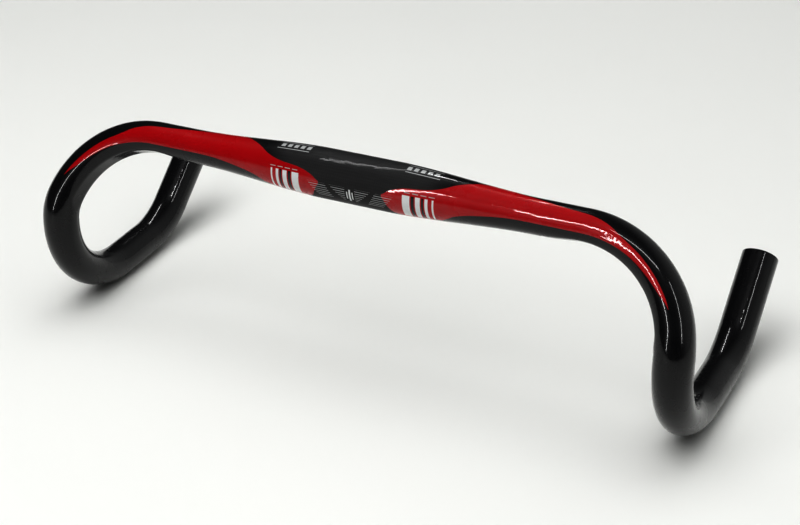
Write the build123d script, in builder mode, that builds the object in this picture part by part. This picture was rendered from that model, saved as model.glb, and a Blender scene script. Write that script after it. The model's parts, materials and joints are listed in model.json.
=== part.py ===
"""Carbon drop handlebar for a road bicycle.

The bar is bonded from moulded shells: a centre section with a 31.8 mm clamp zone, and two drops, each
joined to it by an internal sleeve. A liner stiffens the clamp zone from inside, and thin transfer films
carry the print on the tapers. Millimetres and degrees.

Frame: the origin is the middle of the clamp zone. +X points to the rider's left along the clamp axis,
+Y to the rear and +Z up, with the bar standing on the flats of its hooks.
"""
import os

from build123d import *

# Driving dimensions -------------------------------------------------------------------------------
clamp_diameter = 31.8
clamp_length = 44.0
clamp_wall = 2.5
tops_diameter = 22.0
grip_diameter = 24.0
shell_wall = 1.7

# Route of one side: the tops, the top bend, the turn into the hook, the hook, its flat and the grip.
tops_half_length = 148.5
joint_to_bend = 26.5
ramp_pitch = 57.5
top_bend_radius = 67.0
top_bend_turn = 74.5
lead_in_radius = 35.0
lead_in_turn = 28.0
lead_in_roll = 60.0
drop_flare = 1.3
hook_radius = 52.0
hook_turn = 58.0
heel_radius = 65.5
flat_length = 31.5
palm_radius = 57.5
palm_turn = 38.7
grip_length = 53.0

# Cable recess: a flat along the front of the tops and the inside of the top bend.
recess_depth = 1.8
recess_run_in = 15.0
recess_run_out_turn = 16.0
recess_lip = 0.3

# Internal pieces
liner_length = 60.0
liner_wall = 1.2
sleeve_length = 36.0
sleeve_wall = 1.5
bond_gap = 0.08
bore_straight = 3.0

# Transfer films on the tapers, clear of the stem. Angles go round the bar from the ramp normal to the rear.
film_thickness = 0.1
front_film_span = (32.0, 61.0)
front_film_angles = (-84.0, -6.0)
top_film_span = (32.0, 59.0)
top_film_angles = (32.0, 76.0)

# Derived values -----------------------------------------------------------------------------------
clamp_radius = clamp_diameter / 2
tops_radius = tops_diameter / 2
grip_radius = grip_diameter / 2
joint_x = tops_half_length - joint_to_bend
ramp_normal = Vector(0, 0, 1).rotate(Axis.X, ramp_pitch)

os.makedirs("parts", exist_ok=True)


def bend_points(path, pivot, radius, turn):
    """Three points of an arc that carries on from a path and turns it about the pivot direction."""
    start, heading = path @ 1, path % 1
    pivot = (pivot - heading * pivot.dot(heading)).normalized()
    spin = Axis((0, 0, 0), pivot)
    to_centre = pivot.cross(heading) * radius
    centre = start + to_centre
    return start, centre - to_centre.rotate(spin, turn / 2), centre - to_centre.rotate(spin, turn)


def across(path, position):
    """The plane square to a path, with its x direction on the side that the top bend turns towards."""
    heading = path % position
    inner = ramp_normal.cross(heading) * -1
    return Plane(origin=path @ position, x_dir=inner, z_dir=heading)


def recess_section(plane, radius, depth):
    """The flat's cutter in one section: everything past the flat, as seen from the tube's middle."""
    floor = radius - depth
    with BuildSketch(plane) as section:
        with Locations((floor + radius / 2, 0)):
            Rectangle(radius, 2 * radius)
    return section.sketch


# Route of the left side: each stretch carries on from the one before it ---------------------------
with BuildLine() as tops_line:
    tops_edge = Line((joint_x, 0, 0), (tops_half_length, 0, 0))

with BuildLine() as top_bend_line:
    top_bend_edge = ThreePointArc(*bend_points(tops_edge, -ramp_normal, top_bend_radius, top_bend_turn))

lead_in_pivot = ramp_normal.cross(top_bend_edge % 1).rotate(
    Axis((0, 0, 0), top_bend_edge % 1), lead_in_roll - 90
)

with BuildLine() as hook_line:
    lead_in_edge = ThreePointArc(*bend_points(top_bend_edge, lead_in_pivot, lead_in_radius, lead_in_turn))
    lead_in_heading = lead_in_edge % 1
    sideways = Vector(1, 0, 0) - lead_in_heading * lead_in_heading.X
    drop_pivot = sideways.rotate(Axis((0, 0, 0), lead_in_heading), drop_flare).normalized()
    hook_edge = ThreePointArc(*bend_points(lead_in_edge, drop_pivot, hook_radius, hook_turn))
    flat_heading = drop_pivot.cross(Vector(0, 0, 1)) * -1
    heel_turn = (hook_edge % 1).get_angle(flat_heading)
    heel_edge = ThreePointArc(*bend_points(hook_edge, drop_pivot, heel_radius, heel_turn))
    flat_edge = Line(heel_edge @ 1, heel_edge @ 1 + (heel_edge % 1) * flat_length)
    palm_edge = ThreePointArc(*bend_points(flat_edge, drop_pivot, palm_radius, palm_turn))
    grip_edge = Line(palm_edge @ 1, palm_edge @ 1 + (palm_edge % 1) * grip_length)


def tops_recess(radius):
    """The part of the recess on the straight tops: it runs in past the joint, then keeps its depth."""
    run_in_end = recess_run_in / joint_to_bend
    sections = (
        recess_section(across(tops_edge, 0), radius, -recess_lip),
        recess_section(across(tops_edge, run_in_end), radius, recess_depth),
        recess_section(across(tops_edge, 1), radius, recess_depth),
    )
    with BuildPart() as cutter:
        loft(sections, ruled=True)
    return cutter.part


def bend_recess(start_radius, end_radius):
    """The part of the recess inside the top bend, which runs out at the start of the hook."""
    run_out_edge = lead_in_edge.trim(0, recess_run_out_turn / lead_in_turn)
    bend_sections = (
        recess_section(across(top_bend_edge, 0), start_radius, recess_depth),
        recess_section(across(top_bend_edge, 1), end_radius, recess_depth),
    )
    run_out_sections = (
        recess_section(across(run_out_edge, 0), end_radius, recess_depth),
        recess_section(across(run_out_edge, 1), end_radius, -recess_lip),
    )
    with BuildPart() as cutter:
        sweep(bend_sections, path=top_bend_line.line, multisection=True)
        sweep(run_out_sections, path=run_out_edge, multisection=True)
    return cutter.part


def side_rod(start_radius, end_radius):
    """One side of the bar as a solid rod, from the joint to the open end, with its recess cut."""
    cutters = (tops_recess(start_radius), bend_recess(start_radius, end_radius))
    with BuildPart() as rod:
        with BuildSketch(across(tops_edge, 0)):
            Circle(start_radius)
        extrude(amount=joint_to_bend)
        with BuildSketch(across(top_bend_edge, 0)):
            Circle(start_radius)
        with BuildSketch(across(top_bend_edge, 1)):
            Circle(end_radius)
        sweep(path=top_bend_line.line, multisection=True)
        with BuildSketch(across(lead_in_edge, 0)):
            Circle(end_radius)
        sweep(path=hook_line.line)
        for cutter in cutters:
            add(cutter, mode=Mode.SUBTRACT)
    return rod.part


def sleeve_rod(radius):
    """A rod that fills the bore on both sides of the joint, with the recess's flat on its outer half."""
    cutter = tops_recess(radius)
    with BuildPart() as rod:
        with BuildSketch(Plane.YZ.offset(joint_x - sleeve_length / 2)):
            Circle(radius)
        extrude(amount=sleeve_length)
        add(cutter, mode=Mode.SUBTRACT)
    return rod.part


# Drops: moulded shells from the joint to the open end ---------------------------------------------
side_body = side_rod(tops_radius, grip_radius)
side_bore = side_rod(tops_radius - shell_wall, grip_radius - shell_wall)
with BuildPart() as left_drop:
    add(side_body)
    add(side_bore, mode=Mode.SUBTRACT)

with BuildPart() as right_drop:
    add(left_drop.part)
    mirror(about=Plane.YZ, mode=Mode.REPLACE)

# Joint sleeves: bonded inside both shells ---------------------------------------------------------
sleeve_radius = tops_radius - shell_wall - bond_gap
sleeve_body = sleeve_rod(sleeve_radius)
sleeve_bore = sleeve_rod(sleeve_radius - sleeve_wall)
with BuildPart() as left_joint_sleeve:
    add(sleeve_body)
    add(sleeve_bore, mode=Mode.SUBTRACT)

with BuildPart() as right_joint_sleeve:
    add(left_joint_sleeve.part)
    mirror(about=Plane.YZ, mode=Mode.REPLACE)


def taper(start_x, start_radius, end_x, end_radius):
    """A line that leaves one radius and meets the next with no corner."""
    ease = (end_x - start_x) / 3
    return Bezier(
        (start_x, start_radius),
        (start_x + ease, start_radius),
        (end_x - ease, end_radius),
        (end_x, end_radius),
    )


def outer_profile(raised=0.0):
    """The upper edge of the centre section's left half, raised by a film's thickness if asked."""
    Line((0, clamp_radius + raised), (clamp_length / 2, clamp_radius + raised))
    taper(clamp_length / 2, clamp_radius + raised, joint_x, tops_radius + raised)


def film_patch(span, angles):
    """A transfer film: a thin patch that follows the taper between two places and two angles."""
    start, end = span
    edge_direction = Vector(0, 0, 1).rotate(Axis.X, ramp_pitch - angles[1])
    cut_plane = Plane((0, 0, 0), x_dir=(1, 0, 0), z_dir=Vector(1, 0, 0).cross(edge_direction))
    with BuildPart() as film:
        with BuildSketch(cut_plane):
            with BuildLine():
                outer_profile(film_thickness)
                Line((joint_x, tops_radius + film_thickness), (joint_x, tops_radius))
                outer_profile()
                Line((0, clamp_radius), (0, clamp_radius + film_thickness))
            make_face()
            with Locations(((start + end) / 2, clamp_radius)):
                Rectangle(end - start, clamp_diameter, mode=Mode.INTERSECT)
        revolve(axis=Axis.X, revolution_arc=angles[1] - angles[0])
    return film.part


# Centre section: the clamp zone, tapering to the tops on both sides -------------------------------
liner_half = liner_length / 2
clamp_bore_radius = clamp_radius - clamp_wall
joint_bore_radius = tops_radius - shell_wall
joint_bore_start = joint_x - sleeve_length / 2 - bore_straight
with BuildPart() as centre_section:
    with BuildSketch(Plane.XY):
        with BuildLine():
            outer_profile()
            Line((joint_x, tops_radius), (joint_x, joint_bore_radius))
            Line((joint_x, joint_bore_radius), (joint_bore_start, joint_bore_radius))
            taper(liner_half, clamp_bore_radius, joint_bore_start, joint_bore_radius)
            Line((liner_half, clamp_bore_radius), (0, clamp_bore_radius))
            Line((0, clamp_bore_radius), (0, clamp_radius))
        make_face()
        mirror(about=Plane.YZ)
    revolve(axis=Axis.X)

# Clamp liner: a sleeve bonded inside the clamp zone -----------------------------------------------
liner_radius = clamp_bore_radius - bond_gap
with BuildPart() as clamp_liner:
    with BuildSketch(Plane.YZ.offset(-liner_half)):
        Circle(liner_radius)
        Circle(liner_radius - liner_wall, mode=Mode.SUBTRACT)
    extrude(amount=liner_length)

# Transfer films: printed patches on the front and the top of each taper ---------------------------
with BuildPart() as left_front_film:
    add(film_patch(front_film_span, front_film_angles))

with BuildPart() as left_top_film:
    add(film_patch(top_film_span, top_film_angles))

with BuildPart() as right_front_film:
    add(left_front_film.part)
    mirror(about=Plane.YZ, mode=Mode.REPLACE)

with BuildPart() as right_top_film:
    add(left_top_film.part)
    mirror(about=Plane.YZ, mode=Mode.REPLACE)

pieces = {
    "centre_section": centre_section,
    "clamp_liner": clamp_liner,
    "left_drop": left_drop,
    "left_front_film": left_front_film,
    "left_joint_sleeve": left_joint_sleeve,
    "left_top_film": left_top_film,
    "right_drop": right_drop,
    "right_front_film": right_front_film,
    "right_joint_sleeve": right_joint_sleeve,
    "right_top_film": right_top_film,
}
for name, piece in pieces.items():
    piece.part.label = name
    export_step(piece.part, f"parts/{name}.step")
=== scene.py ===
"""Looks of a carbon drop handlebar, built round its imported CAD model. Metres, in the CAD frame.

The shells are swept again here as finer meshes than the CAD's, with a place along the bar and an angle round
it stored at every vertex, so that the paint, the print and the laminate can follow the tube.
"""
import json
import math

import bpy
import numpy as np
from mathutils import Matrix, Vector


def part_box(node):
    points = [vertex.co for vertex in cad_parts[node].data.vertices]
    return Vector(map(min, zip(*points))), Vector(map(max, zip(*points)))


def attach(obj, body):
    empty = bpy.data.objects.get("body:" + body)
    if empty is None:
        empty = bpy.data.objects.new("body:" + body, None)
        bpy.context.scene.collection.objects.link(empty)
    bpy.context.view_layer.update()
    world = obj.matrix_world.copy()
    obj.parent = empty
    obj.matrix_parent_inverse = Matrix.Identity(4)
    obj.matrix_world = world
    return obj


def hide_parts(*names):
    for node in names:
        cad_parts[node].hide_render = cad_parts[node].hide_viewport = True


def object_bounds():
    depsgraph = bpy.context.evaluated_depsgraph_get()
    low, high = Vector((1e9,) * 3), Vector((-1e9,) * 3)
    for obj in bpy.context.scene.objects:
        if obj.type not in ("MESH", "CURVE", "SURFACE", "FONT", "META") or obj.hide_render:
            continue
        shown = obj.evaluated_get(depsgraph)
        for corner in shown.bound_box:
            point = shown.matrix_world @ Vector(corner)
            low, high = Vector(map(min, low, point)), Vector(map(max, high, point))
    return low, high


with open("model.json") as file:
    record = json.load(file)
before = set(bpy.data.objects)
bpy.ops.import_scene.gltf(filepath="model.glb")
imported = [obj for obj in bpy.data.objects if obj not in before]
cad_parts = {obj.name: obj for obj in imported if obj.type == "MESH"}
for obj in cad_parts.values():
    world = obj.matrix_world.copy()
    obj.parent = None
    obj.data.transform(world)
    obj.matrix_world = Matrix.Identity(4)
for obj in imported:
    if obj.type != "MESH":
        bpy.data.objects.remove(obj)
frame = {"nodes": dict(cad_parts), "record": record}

MM = 0.001
cad_low, cad_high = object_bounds()

# Sizes, as in the CAD model --------------------------------------------------------------------------
mounts = {mount["name"]: mount for mount in frame["record"]["mounts"]}
CLAMP_RADIUS = mounts["stem_clamp"]["dims"]["r_mm"] * MM
CLAMP_HALF = mounts["stem_clamp"]["dims"]["length_mm"] / 2 * MM
GRIP_RADIUS = mounts["left_lever_clamp"]["dims"]["r_mm"] * MM
TOPS_RADIUS = 11.0 * MM
JOINT_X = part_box("centre_section")[1].x
CLAMP_WALL = 2.5 * MM
SHELL_WALL = 1.7 * MM
LINER_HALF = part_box("clamp_liner")[1].x
BORE_STRAIGHT = 3 * MM
JOINT_BORE_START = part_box("left_joint_sleeve")[0].x - BORE_STRAIGHT
FLOOR_HEIGHT = cad_low[2]

TOPS_HALF = 148.5 * MM
RAMP_PITCH = math.radians(57.5)
TOP_BEND = (67 * MM, 74.5)
LEAD_IN = (35 * MM, 28.0)
LEAD_IN_ROLL = math.radians(60.0)
DROP_FLARE = math.radians(1.3)
HOOK = (52 * MM, 58.0)
HEEL_RADIUS = 65.5 * MM
FLAT_LENGTH = 31.5 * MM
PALM = (57.5 * MM, 38.7)
GRIP_LENGTH = 53 * MM

RECESS_DEPTH = 1.8 * MM
RECESS_LIP = 0.3 * MM
# Longer than in the CAD, so that no kink shows where the recess starts
RECESS_RUN_IN = 26 * MM
RECESS_RUN_OUT = LEAD_IN[0] * math.radians(16.0)
# Rays that lean less than this towards the recess's flat meet the round wall first
FACING_LEAST = 0.2
FILM_THICKNESS = 0.1 * MM
FILM_ANGLES = {"front_film": (-84.0, -6.0), "top_film": (32.0, 76.0)}

# Rounded edges and corners, which the CAD model leaves sharp
RECESS_EDGE = 0.9 * MM
RIM_ROUNDING = 0.45 * MM
FILM_CORNER = 3 * MM

# How fine the meshes are
COLUMNS = 160
RING_STEP = 1.6 * MM
BORE_STRIDE = 3
RIM_STEPS = 6
RIM_TURN = 18
FILM_ROWS = 49
FILM_COLUMNS = 41


# Route ------------------------------------------------------------------------------------------------
def spun(vector, axis, angle):
    """A vector turned about an axis by an angle in radians."""
    axis = axis / np.linalg.norm(axis)
    along = axis * (axis @ vector) * (1 - math.cos(angle))
    return vector * math.cos(angle) + np.cross(axis, vector) * math.sin(angle) + along


class Route:
    """The left side's centre line, walked stretch by stretch with a section frame that never twists."""

    def __init__(self):
        self.place = np.array((JOINT_X, 0.0, 0.0))
        self.heading = np.array((1.0, 0.0, 0.0))
        self.normal = spun(np.array((0.0, 0.0, 1.0)), self.heading, RAMP_PITCH)
        self.run = JOINT_X
        self.rings = [self.ring()]

    def ring(self):
        return self.run, self.place.copy(), self.heading.copy(), self.normal.copy()

    def straight(self, length):
        count = max(1, math.ceil(length / RING_STEP))
        for _ in range(count):
            self.place = self.place + self.heading * length / count
            self.run += length / count
            self.rings.append(self.ring())

    def bend(self, pivot, radius, turn):
        turn = math.radians(turn)
        count = math.ceil(radius * turn / RING_STEP)
        pivot = pivot - self.heading * (pivot @ self.heading)
        pivot = pivot / np.linalg.norm(pivot)
        for _ in range(count):
            to_centre = np.cross(pivot, self.heading) * radius
            self.place = self.place + to_centre - spun(to_centre, pivot, turn / count)
            self.heading = spun(self.heading, pivot, turn / count)
            self.normal = spun(self.normal, pivot, turn / count)
            self.run += radius * turn / count
            self.rings.append(self.ring())


route = Route()
route.straight(TOPS_HALF - JOINT_X)
TOP_BEND_START = route.run
ramp_normal = route.normal.copy()
route.bend(-ramp_normal, *TOP_BEND)
TOP_BEND_END = route.run
lead_in_pivot = spun(np.cross(ramp_normal, route.heading), route.heading, LEAD_IN_ROLL - math.pi / 2)
route.bend(lead_in_pivot, *LEAD_IN)
sideways = np.array((1.0, 0.0, 0.0)) - route.heading * route.heading[0]
drop_pivot = spun(sideways, route.heading, DROP_FLARE)
drop_pivot = drop_pivot / np.linalg.norm(drop_pivot)
route.bend(drop_pivot, *HOOK)
flat_heading = np.cross((0.0, 0.0, 1.0), drop_pivot)
flat_heading = flat_heading / np.linalg.norm(flat_heading)
heel_turn = math.degrees(math.acos(route.heading @ flat_heading))
route.bend(drop_pivot, HEEL_RADIUS, heel_turn)
route.straight(FLAT_LENGTH)
route.bend(drop_pivot, *PALM)
route.straight(GRIP_LENGTH)


# Sections ---------------------------------------------------------------------------------------------
def smooth(value, low, high):
    share = min(1.0, max(0.0, (value - low) / (high - low)))
    return share * share * (3 - 2 * share)


def side_radius(run):
    share = (run - TOP_BEND_START) / (TOP_BEND_END - TOP_BEND_START)
    return TOPS_RADIUS + (GRIP_RADIUS - TOPS_RADIUS) * min(1.0, max(0.0, share))


def recess_depth(run):
    """How deep the flat is: it runs in past the joint and runs out at the start of the lead-in."""
    full = RECESS_DEPTH + RECESS_LIP
    run_in = smooth(run, JOINT_X, JOINT_X + RECESS_RUN_IN)
    run_out = smooth(run, TOP_BEND_END, TOP_BEND_END + RECESS_RUN_OUT)
    return full * run_in * (1 - run_out) - RECESS_LIP


def soft_lower(first, second, width):
    """The lower of two lengths, with the corner between them rounded over a width."""
    blend = np.maximum(width - np.abs(first - second), 0.0) / width
    return np.minimum(first, second) - blend * blend * width / 4


def drop_section(run, around, inset):
    """The distance of the drop's surface from its centre line at each angle."""
    radius = side_radius(run) - inset
    facing = np.cos(around + math.pi / 2)
    depth = recess_depth(run)
    far = radius / FACING_LEAST
    flat = np.where(facing > FACING_LEAST, (radius - depth) / np.maximum(facing, FACING_LEAST), far)
    return soft_lower(np.full_like(around, radius), flat, RECESS_EDGE)


def taper(run, start, start_radius, end, end_radius):
    """The CAD taper: a curve that leaves one radius and meets the next with no corner."""
    share = min(1.0, max(0.0, (run - start) / (end - start)))
    return start_radius + (end_radius - start_radius) * share * share * (3 - 2 * share)


def centre_outer(run):
    return taper(abs(run), CLAMP_HALF, CLAMP_RADIUS, JOINT_X, TOPS_RADIUS)


def centre_inner(run):
    bore = CLAMP_RADIUS - CLAMP_WALL
    return taper(abs(run), LINER_HALF, bore, JOINT_BORE_START, TOPS_RADIUS - SHELL_WALL)


# Meshes -----------------------------------------------------------------------------------------------
around_all = np.radians(np.arange(COLUMNS) * 360 / COLUMNS - 180)


def ring_points(ring, lengths, around, shift=0.0):
    """The points of one section: angles run from the ramp normal towards the rear of the bar."""
    _, place, heading, normal = ring
    rearward = np.cross(normal, heading)
    rays = np.cos(around)[:, None] * normal + np.sin(around)[:, None] * rearward
    return place + heading * shift + rays * lengths[:, None]


def build(name, rows, arounds, runs, closed, sharp_rows, side=1):
    """A mesh from rows of points. closed joins each row's ends and the last row to the first."""
    count, width = len(rows), len(rows[0])
    vertices = np.concatenate(rows) * (side, 1, 1)
    steps = width if closed else width - 1
    faces = []
    for row in range(count if closed else count - 1):
        after = (row + 1) % count
        for column in range(steps):
            right = (column + 1) % width
            here, there = row * width, after * width
            corners = (here + column, here + right, there + right, there + column)
            faces.append(corners if side > 0 else corners[::-1])
    mesh = bpy.data.meshes.new(name)
    mesh.from_pydata(vertices.tolist(), [], faces)
    where = mesh.attributes.new("route", "FLOAT_VECTOR", "POINT")
    values = [(run * side, math.cos(a), math.sin(a)) for run, angles in zip(runs, arounds) for a in angles]
    where.data.foreach_set("vector", np.array(values, np.float32).ravel())
    mesh.shade_smooth()
    for edge in mesh.edges:
        low, high = sorted(edge.vertices)
        if low // width == high // width and low // width in sharp_rows:
            edge.use_edge_sharp = True
    piece = bpy.data.objects.new(name, mesh)
    bpy.context.scene.collection.objects.link(piece)
    return piece


def drop_shell(name, side):
    """One drop: the outer surface, a rounded rim at the open end, and the bore back to the joint."""
    rows, runs = [], []

    def add(ring, inset, shift=0.0, grow=0.0):
        lengths = drop_section(ring[0], around_all, inset) + grow
        rows.append(ring_points(ring, lengths, around_all, shift))
        runs.append(ring[0] + shift)

    for ring in route.rings[:-1]:
        add(ring, 0.0)
    end = route.rings[-1]
    for step in range(RIM_STEPS):
        angle = math.radians(step * RIM_TURN)
        add(end, 0.0, (math.sin(angle) - 1) * RIM_ROUNDING, (math.cos(angle) - 1) * RIM_ROUNDING)
    for step in range(RIM_STEPS):
        angle = math.radians(90 - step * RIM_TURN)
        add(end, SHELL_WALL, (math.sin(angle) - 1) * RIM_ROUNDING, (1 - math.cos(angle)) * RIM_ROUNDING)
    inner_rings = route.rings[-BORE_STRIDE::-BORE_STRIDE]
    if inner_rings[-1][0] > JOINT_X:
        inner_rings.append(route.rings[0])
    for ring in inner_rings:
        add(ring, SHELL_WALL)
    return build(name, rows, [around_all] * len(rows), runs, True, {0, len(rows) - 1}, side)


def straight_ring(x):
    heading = np.array((1.0, 0.0, 0.0))
    return x, np.array((x, 0.0, 0.0)), heading, spun(np.array((0.0, 0.0, 1.0)), heading, RAMP_PITCH)


def centre_shell(name):
    """The centre section: the clamp zone and both tapers outside, and the bore inside."""
    outer_count = 2 * math.ceil(JOINT_X / RING_STEP)
    outer = np.linspace(-JOINT_X, JOINT_X, outer_count + 1)
    inner = np.linspace(JOINT_X, -JOINT_X, outer_count // BORE_STRIDE + 1)
    rows = [ring_points(straight_ring(x), np.full(COLUMNS, centre_outer(x)), around_all) for x in outer]
    rows += [ring_points(straight_ring(x), np.full(COLUMNS, centre_inner(x)), around_all) for x in inner]
    sharp = {0, len(outer) - 1, len(outer), len(rows) - 1}
    return build(name, rows, [around_all] * len(rows), [*outer, *inner], True, sharp)


def film_patch(name, node, side):
    """A transfer film over the taper, with its corners cut round and its thickness closed at its outer end.
    """
    low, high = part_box(node)
    start, end = (low.x, high.x) if side > 0 else (-high.x, -low.x)
    first, last = FILM_ANGLES[node.split("_", 1)[1]]
    xs = start + (end - start) * (1 - np.cos(np.linspace(0, math.pi, FILM_ROWS))) / 2
    rows, arounds = [], []
    for lift in (FILM_THICKNESS, 0.0):
        for x in xs if lift else xs[::-1]:
            radius = centre_outer(x)
            into = min(x - start, end - x)
            cut = FILM_CORNER - math.sqrt(FILM_CORNER**2 - (FILM_CORNER - min(into, FILM_CORNER)) ** 2)
            angles = np.radians(np.linspace(first, last, FILM_COLUMNS))
            angles = angles + np.linspace(cut, -cut, FILM_COLUMNS) / radius
            rows.append(ring_points(straight_ring(x), np.full(FILM_COLUMNS, radius + lift), angles))
            arounds.append(angles)
    runs = [*xs, *xs[::-1]]
    return build(name, rows, arounds, runs, False, set(), side)


# Node helpers -----------------------------------------------------------------------------------------
class Nodes:
    """A short way to write shader maths: every call adds a node and gives its output."""

    def __init__(self, tree):
        self.tree = tree

    def make(self, kind, **settings):
        node = self.tree.nodes.new(kind)
        for key, value in settings.items():
            setattr(node, key, value)
        return node

    def feed(self, socket, value):
        if isinstance(value, bpy.types.NodeSocket):
            self.tree.links.new(value, socket)
        else:
            socket.default_value = value

    def math(self, operation, *values):
        node = self.make("ShaderNodeMath", operation=operation)
        for socket, value in zip(node.inputs, values):
            self.feed(socket, value)
        return node.outputs[0]

    def step(self, value, edge, width):
        """From 0 below an edge to 1 above it, over a width."""
        node = self.make("ShaderNodeMapRange", interpolation_type="SMOOTHSTEP")
        self.feed(node.inputs["Value"], value)
        if isinstance(edge, bpy.types.NodeSocket):
            self.feed(node.inputs["From Min"], self.math("SUBTRACT", edge, width / 2))
            self.feed(node.inputs["From Max"], self.math("ADD", edge, width / 2))
        else:
            node.inputs["From Min"].default_value = edge - width / 2
            node.inputs["From Max"].default_value = edge + width / 2
        return node.outputs["Result"]

    def between(self, value, low, high, width):
        return self.math("SUBTRACT", self.step(value, low, width), self.step(value, high, width))

    def both(self, *masks):
        result = masks[0]
        for mask in masks[1:]:
            result = self.math("MULTIPLY", result, mask)
        return result

    def either(self, *masks):
        result = masks[0]
        for mask in masks[1:]:
            result = self.math("MAXIMUM", result, mask)
        return result

    def mix(self, share, first, second):
        node = self.make("ShaderNodeMix", data_type="RGBA")
        self.feed(node.inputs["Factor"], share)
        self.feed(node.inputs["A"], first)
        self.feed(node.inputs["B"], second)
        return node.outputs["Result"]

    def ranged(self, value, low, high, to_low, to_high):
        node = self.make("ShaderNodeMapRange")
        self.feed(node.inputs["Value"], value)
        for name, number in zip(("From Min", "From Max", "To Min", "To Max"), (low, high, to_low, to_high)):
            node.inputs[name].default_value = number
        return node.outputs["Result"]

    def vector(self, *values):
        node = self.make("ShaderNodeCombineXYZ")
        for socket, value in zip(node.inputs, values):
            self.feed(socket, value)
        return node.outputs[0]

    def noise(self, vector, scale, detail=2.0, roughness=0.5):
        node = self.make("ShaderNodeTexNoise")
        self.feed(node.inputs["Vector"], vector)
        node.inputs["Scale"].default_value = scale
        node.inputs["Detail"].default_value = detail
        node.inputs["Roughness"].default_value = roughness
        return node.outputs["Fac"]

    def curve(self, value, reach, height, points):
        """A curve through a few points: value from 0 to reach, result from -height to height."""
        node = self.make("ShaderNodeFloatCurve")
        self.feed(node.inputs["Value"], self.math("DIVIDE", value, reach))
        line = node.mapping.curves[0]
        while len(line.points) < len(points):
            line.points.new(0.5, 0.5)
        for point, (along, across) in zip(line.points, points):
            point.location = (along / reach, 0.5 + across / height / 2)
            point.handle_type = "AUTO"
        node.mapping.update()
        return self.math("MULTIPLY", self.math("SUBTRACT", node.outputs[0], 0.5), 2 * height)


def new_material(name):
    material = bpy.data.materials.new(name)
    material.use_nodes = True
    return material, Nodes(material.node_tree), material.node_tree.nodes["Principled BSDF"]


# Paint ------------------------------------------------------------------------------------------------
BLACK = (0.003, 0.003, 0.0034, 1)
FIBRE = (0.009, 0.009, 0.0102, 1)
# Lighter blacks for the satin middle: a painted sheen, standing in for the soft grey highlight of its satin
# finish
PAINTED_SHEEN = (0.016, 0.016, 0.0165, 1)
PAINTED_SHEEN_FIBRE = (0.036, 0.036, 0.0365, 1)
RED = (0.44, 0.0016, 0.006, 1)
DEEP_RED = (0.36, 0.001, 0.0045, 1)
SILVER = (0.72, 0.735, 0.74, 1)
PALE = (0.42, 0.43, 0.43, 1)
RAW_DARK = (0.012, 0.012, 0.013, 1)
RAW_PALE = (0.04, 0.04, 0.042, 1)

ARC_PER_DEGREE = 0.21
TOW_PITCH = 2.1
BARE_EDGE = (54.0, 24.0)
BAND_REACH = 250.0
BAND_HEIGHT = 180.0
BAND_ENDS = (22.0, 223.0)
BAND_SOFTNESS = 1.6
# The red band: its upper and lower edge in degrees round the bar, by millimetres from the middle
BAND_UPPER = (
    (0, -20), (21, -25), (27, -13), (35, -3), (52, 6), (60, 16), (68, 35), (76, 54), (84, 74), (94, 90),
    (104, 77), (120, 61), (135, 47), (151, 38), (163, 27), (174, 12), (188, 7), (205, 5), (222, 6), (250, 0),
)
BAND_LOWER = (
    (0, -18), (21, -30), (25, -50), (30, -78), (42, -98), (55, -92), (64, -66), (71, -49), (87, -35),
    (103, -27), (120, -26), (135, -26), (151, -26), (166, -24), (183, -20), (198, -17), (212, -9),
    (222, 4), (250, 20),
)


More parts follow.
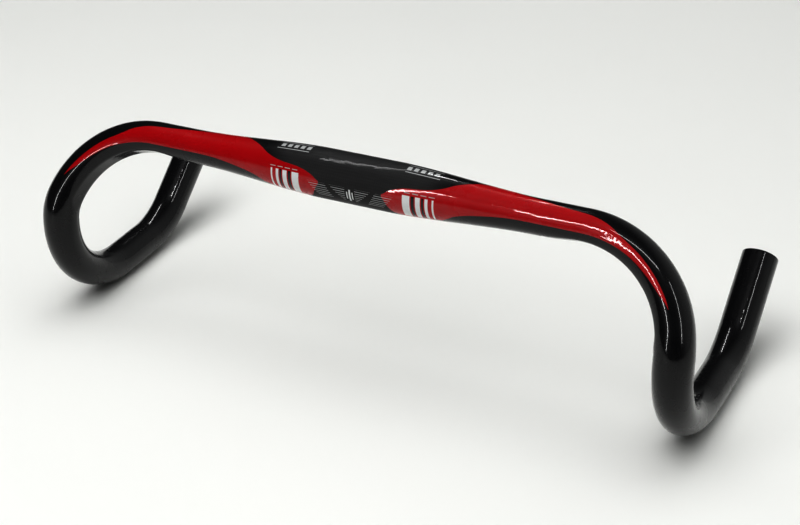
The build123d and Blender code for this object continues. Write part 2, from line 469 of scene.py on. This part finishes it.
def painted_carbon(name, prints=None):
    """Black laminate with the red band painted over it and clear coat over both."""
    material, nodes, shader = new_material(name)
    route_read = nodes.make("ShaderNodeAttribute", attribute_name="route")
    split = nodes.make("ShaderNodeSeparateXYZ")
    nodes.feed(split.inputs[0], route_read.outputs["Vector"])
    run = nodes.math("MULTIPLY", split.outputs[0], 1 / MM)
    out = nodes.math("ABSOLUTE", run)
    angle = nodes.math("MULTIPLY", nodes.math("ARCTAN2", split.outputs[2], split.outputs[1]), 180 / math.pi)

    # Laminate: bundles of fibre that run along the tube, lightly crossed, seen through the coat
    arc = nodes.math("MULTIPLY", angle, ARC_PER_DEGREE)
    along_fibre = nodes.noise(nodes.vector(nodes.math("MULTIPLY", run, 0.05), arc, 0.0), 2.2, 4.0, 0.65)
    weave = nodes.math("SINE", nodes.math("MULTIPLY", nodes.math("ADD", run, arc), TOW_PITCH))
    cross = nodes.math("SINE", nodes.math("MULTIPLY", nodes.math("SUBTRACT", run, arc), TOW_PITCH))
    tow = nodes.ranged(nodes.math("MULTIPLY", weave, cross), -1, 1, 0, 1)
    fibre = nodes.math("MULTIPLY", along_fibre, nodes.ranged(tow, 0, 1, 0.55, 1.0))
    laminate = nodes.mix(fibre, BLACK, FIBRE)

    # The middle is satin, from the clamp zone into the tapers: its laminate is painted lighter there, a
    # painted sheen of the satin finish, and shows more of the grain
    bare = nodes.math("SUBTRACT", 1.0, nodes.step(out, *BARE_EDGE))
    laminate = nodes.mix(bare, laminate, nodes.mix(fibre, PAINTED_SHEEN, PAINTED_SHEEN_FIBRE))

    # Paint: the band's edges, with a faint mottle in the red
    upper = nodes.curve(out, BAND_REACH, BAND_HEIGHT, BAND_UPPER)
    lower = nodes.curve(out, BAND_REACH, BAND_HEIGHT, BAND_LOWER)
    below = nodes.math("SUBTRACT", 1.0, nodes.step(angle, upper, BAND_SOFTNESS))
    above = nodes.step(angle, lower, BAND_SOFTNESS)
    band = nodes.both(below, above, nodes.between(out, *BAND_ENDS, 0.6))
    coordinates = nodes.make("ShaderNodeTexCoord").outputs["Object"]
    mottle = nodes.noise(coordinates, 60.0, 3.0)
    colour = nodes.mix(band, laminate, nodes.mix(mottle, DEEP_RED, RED))

    if prints:
        for mask, ink in prints(nodes, run, out, angle):
            colour = nodes.mix(mask, colour, ink)
    nodes.feed(shader.inputs["Base Color"], colour)

    # Finish: full gloss on the sides and the paint, satin on the bare middle
    satin = nodes.math("MULTIPLY", bare, nodes.math("SUBTRACT", 1.0, band))
    wipe = nodes.noise(coordinates, 35.0, 4.0, 0.6)
    smear = nodes.ranged(wipe, 0.3, 0.7, -0.03, 0.05)
    rough = nodes.math("ADD", nodes.ranged(satin, 0, 1, 0.26, 0.46), smear)
    nodes.feed(shader.inputs["Roughness"], rough)
    nodes.feed(shader.inputs["Coat Weight"], nodes.ranged(satin, 0, 1, 0.85, 0.12))
    shader.inputs["Coat Roughness"].default_value = 0.025
    shader.inputs["Coat IOR"].default_value = 1.4
    shader.inputs["Specular IOR Level"].default_value = 0.12

    # The coat's orange peel and the slower waves of hand-rubbed carbon
    peel = nodes.noise(coordinates, 420.0, 2.0)
    waves = nodes.noise(coordinates, 95.0, 1.5)
    height = nodes.math("ADD", nodes.math("MULTIPLY", peel, 0.25), waves)
    bump = nodes.make("ShaderNodeBump")
    bump.inputs["Strength"].default_value = 0.26
    bump.inputs["Distance"].default_value = 0.0004
    nodes.feed(bump.inputs["Height"], height)
    nodes.feed(shader.inputs["Coat Normal"], bump.outputs["Normal"])
    return material


def alignment_lines(nodes, run, out, angle):
    """Fine lines round the front of the clamp zone, to line the bar up in its stem, and a centre tick."""
    pitch, first, last = 5.6, -61.0, -27.0
    phase = nodes.math("FRACT", nodes.math("DIVIDE", nodes.math("SUBTRACT", angle, first), pitch))
    line = nodes.both(nodes.between(phase, 0.04, 0.28, 0.08), nodes.between(angle, first, last, 0.5))
    fall = nodes.math("ADD", angle, 27.0)
    middle = nodes.math("ADD", 14.5, nodes.math("MULTIPLY", fall, 0.28))
    outer_start = nodes.math("ADD", 17.5, nodes.math("MULTIPLY", fall, 0.16))
    outer_end = nodes.math("ADD", 30.0, nodes.math("MULTIPLY", fall, 0.22))
    centre = nodes.math("SUBTRACT", 1.0, nodes.step(out, middle, 0.3))
    sides = nodes.math("SUBTRACT", nodes.step(out, outer_start, 0.3), nodes.step(out, outer_end, 0.3))
    gap = nodes.step(out, 3.4, 0.3)
    lines = nodes.both(line, nodes.either(nodes.both(centre, gap), sides))
    tick = nodes.math("SUBTRACT", 1.0, nodes.step(out, 0.6, 0.2))
    tick = nodes.both(tick, nodes.between(angle, -62.0, -30.0, 0.8))
    short = nodes.both(nodes.between(out, 1.5, 2.3, 0.2), nodes.between(angle, -56.0, -36.0, 0.8))
    return ((lines, PALE), (nodes.either(tick, short), SILVER))


def front_print(nodes, run, out, angle):
    """Plain upright bars, pale and dark, that grow thinner away from the stem, with a dashed rule above."""
    tall = nodes.between(angle, -78.0, -16.0, 0.9)
    pale_spans = ((36.0, 41.0), (44.6, 47.8), (50.8, 52.8), (55.4, 56.6))
    pale = [nodes.between(out, start, end, 0.25) for start, end in pale_spans]
    dark = [nodes.between(out, start, end, 0.25) for start, end in ((41.8, 43.8), (48.6, 50.0))]
    dash = nodes.math("FRACT", nodes.math("DIVIDE", nodes.math("SUBTRACT", out, 37.0), 5.4))
    rule = nodes.both(nodes.between(angle, -10.8, -8.8, 0.5), nodes.between(out, 37.0, 58.6, 0.3))
    rule = nodes.both(rule, nodes.between(dash, 0.0, 0.72, 0.06))
    return (
        (nodes.both(nodes.either(*pale), tall), SILVER),
        (nodes.both(nodes.either(*dark), tall), BLACK),
        (rule, PALE),
    )


def top_print(nodes, run, out, angle):
    """Two rules with a row of blocks between them."""
    span = nodes.between(out, 33.5, 56.5, 0.25)
    rules = nodes.either(nodes.between(angle, 38.0, 40.0, 0.5), nodes.between(angle, 65.0, 67.0, 0.5))
    phase = nodes.math("FRACT", nodes.math("DIVIDE", nodes.math("SUBTRACT", out, 33.5), 4.6))
    blocks = nodes.both(nodes.between(phase, 0.0, 0.62, 0.06), nodes.between(angle, 46.0, 59.0, 0.8))
    return ((nodes.both(span, nodes.either(rules, blocks)), PALE),)


def moulded_inner(name):
    """Raw moulded carbon on the inner pieces: matt, with a coarse bag texture."""
    material, nodes, shader = new_material(name)
    coordinates = nodes.make("ShaderNodeTexCoord").outputs["Object"]
    grain = nodes.noise(coordinates, 300.0, 4.0, 0.6)
    nodes.feed(shader.inputs["Base Color"], nodes.mix(grain, RAW_DARK, RAW_PALE))
    nodes.feed(shader.inputs["Roughness"], nodes.ranged(grain, 0.3, 0.7, 0.5, 0.72))
    bump = nodes.make("ShaderNodeBump")
    bump.inputs["Strength"].default_value = 0.3
    bump.inputs["Distance"].default_value = 0.0002
    nodes.feed(bump.inputs["Height"], grain)
    nodes.feed(shader.inputs["Normal"], bump.outputs["Normal"])
    return material


# Pieces -----------------------------------------------------------------------------------------------
def finish_piece(piece, node, material):
    piece.data.materials.append(material)
    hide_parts(node)
    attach(piece, "root")


drop_paint = painted_carbon("drop_paint")
finish_piece(centre_shell("centre_shell"), "centre_section",
             painted_carbon("centre_paint", alignment_lines))
film_materials = {
    "front_film": painted_carbon("front_film_print", front_print),
    "top_film": painted_carbon("top_film_print", top_print),
}
for side, side_name in ((1, "left"), (-1, "right")):
    drop = drop_shell(f"{side_name}_drop_shell", side)
    finish_piece(drop, f"{side_name}_drop", drop_paint)
    for film, material in film_materials.items():
        node = f"{side_name}_{film}"
        finish_piece(film_patch(f"{node}_patch", node, side), node, material)

inner_finish = moulded_inner("moulded_inner")
for node in ("clamp_liner", "left_joint_sleeve", "right_joint_sleeve"):
    inner = frame["nodes"][node]
    inner.data.materials.clear()
    inner.data.materials.append(inner_finish)


# Stage ------------------------------------------------------------------------------------------------
FLOOR_REACH = 6.0
FLOOR_CELLS = 24
TUBE_DISTANCE = 2.4
DISPLAY_GAMMA = 0.72


def pale_floor():
    line = np.linspace(-FLOOR_REACH, FLOOR_REACH, FLOOR_CELLS + 1)
    vertices = [(x, y, FLOOR_HEIGHT) for y in line for x in line]
    row = FLOOR_CELLS + 1
    faces = [(i * row + j, i * row + j + 1, (i + 1) * row + j + 1, (i + 1) * row + j)
             for i in range(FLOOR_CELLS) for j in range(FLOOR_CELLS)]
    mesh = bpy.data.meshes.new("floor")
    mesh.from_pydata(vertices, [], faces)
    floor = bpy.data.objects.new("floor", mesh)
    bpy.context.scene.collection.objects.link(floor)
    material, nodes, shader = new_material("pale_floor")
    coordinates = nodes.make("ShaderNodeTexCoord").outputs["Object"]
    tone = nodes.noise(coordinates, 2.5, 3.0)
    nodes.feed(shader.inputs["Base Color"], nodes.mix(tone, (0.81, 0.815, 0.795, 1), (0.85, 0.855, 0.832, 1)))
    shader.inputs["Roughness"].default_value = 0.6
    shader.inputs["Specular IOR Level"].default_value = 0.2
    floor.data.materials.append(material)


def pointed(thing, place, target):
    """Puts a light at a place, facing a target."""
    thing.location = place
    thing.rotation_euler = (Vector(target) - Vector(place)).to_track_quat("-Z", "Y").to_euler()


def soft_light(name, place, width, height, power):
    """A large light that the bar's coat doesn't mirror."""
    data = bpy.data.lights.new(name, "AREA")
    data.shape = "RECTANGLE"
    data.size = width
    data.size_y = height
    data.energy = power
    light = bpy.data.objects.new(name, data)
    bpy.context.scene.collection.objects.link(light)
    pointed(light, place, (0, 0, 0))
    light.visible_glossy = False


def tube_light(name, first, last, width, power):
    """A thin tube light between two directions from the bar, which only its reflections show."""
    start = Vector(first).normalized() * TUBE_DISTANCE
    end = Vector(last).normalized() * TUBE_DISTANCE
    middle = (start + end) / 2
    along = (end - start).normalized()
    facing = (middle - along * middle.dot(along)).normalized()
    data = bpy.data.lights.new(name, "AREA")
    data.shape = "RECTANGLE"
    data.size = (end - start).length
    data.size_y = width
    data.energy = power
    light = bpy.data.objects.new(name, data)
    bpy.context.scene.collection.objects.link(light)
    light.matrix_world = Matrix.Translation(middle) @ Matrix(
        (along, facing.cross(along), facing)
    ).transposed().to_4x4()
    light.visible_diffuse = False


pale_floor()
soft_light("soft_front", (-0.25, -1.1, 1.75), 1.7, 1.4, 22)
soft_light("soft_top", (-0.15, 0.15, 2.1), 1.7, 1.4, 17)
soft_light("soft_fill", (0.2, -0.2, 2.6), 4.5, 4.5, 58)
tube_light("ceiling_tube", (-0.46, -0.05, 0.88), (-0.28, 0.68, 0.68), 0.06, 18)
tube_light("front_tube", (-0.38, -0.92, 0.04), (-0.23, -0.74, 0.64), 0.06, 14)
tube_light("overhead_tube", (-0.12, -0.45, 0.88), (0.36, -0.30, 0.88), 0.05, 9)
tube_light("right_tube", (0.58, -0.12, 0.80), (0.84, -0.46, 0.28), 0.06, 10)


def room_light():
    """A dark room with one bright side, to the right of the camera's view and a little behind the bar."""
    world = bpy.data.worlds.new("room")
    bpy.context.scene.world = world
    world.use_nodes = True
    nodes = Nodes(world.node_tree)
    towards = nodes.make("ShaderNodeVectorMath", operation="DOT_PRODUCT")
    nodes.feed(towards.inputs[0], nodes.make("ShaderNodeTexCoord").outputs["Generated"])
    towards.inputs[1].default_value = (0.78, 0.62, 0.1)
    bright = nodes.step(towards.outputs["Value"], 0.6, 0.6)
    shade = nodes.mix(bright, (0.025, 0.026, 0.027, 1), (0.60, 0.61, 0.60, 1))
    background = world.node_tree.nodes["Background"]
    nodes.feed(background.inputs["Color"], shade)
    background.inputs["Strength"].default_value = 1.0


room_light()

# Camera -----------------------------------------------------------------------------------------------
camera_data = bpy.data.cameras.new("camera")
camera_data.lens = 71.85
camera_data.sensor_width = 36.0
camera = bpy.data.objects.new("camera", camera_data)
camera.location = (0.4314, -0.7728, 0.4457)
camera.rotation_euler = tuple(math.radians(angle) for angle in (60.256, 1.561, 26.832))
bpy.context.scene.collection.objects.link(camera)
bpy.context.scene.camera = camera
bpy.context.scene.view_settings.view_transform = "Standard"
bpy.context.scene.view_settings.gamma = DISPLAY_GAMMA
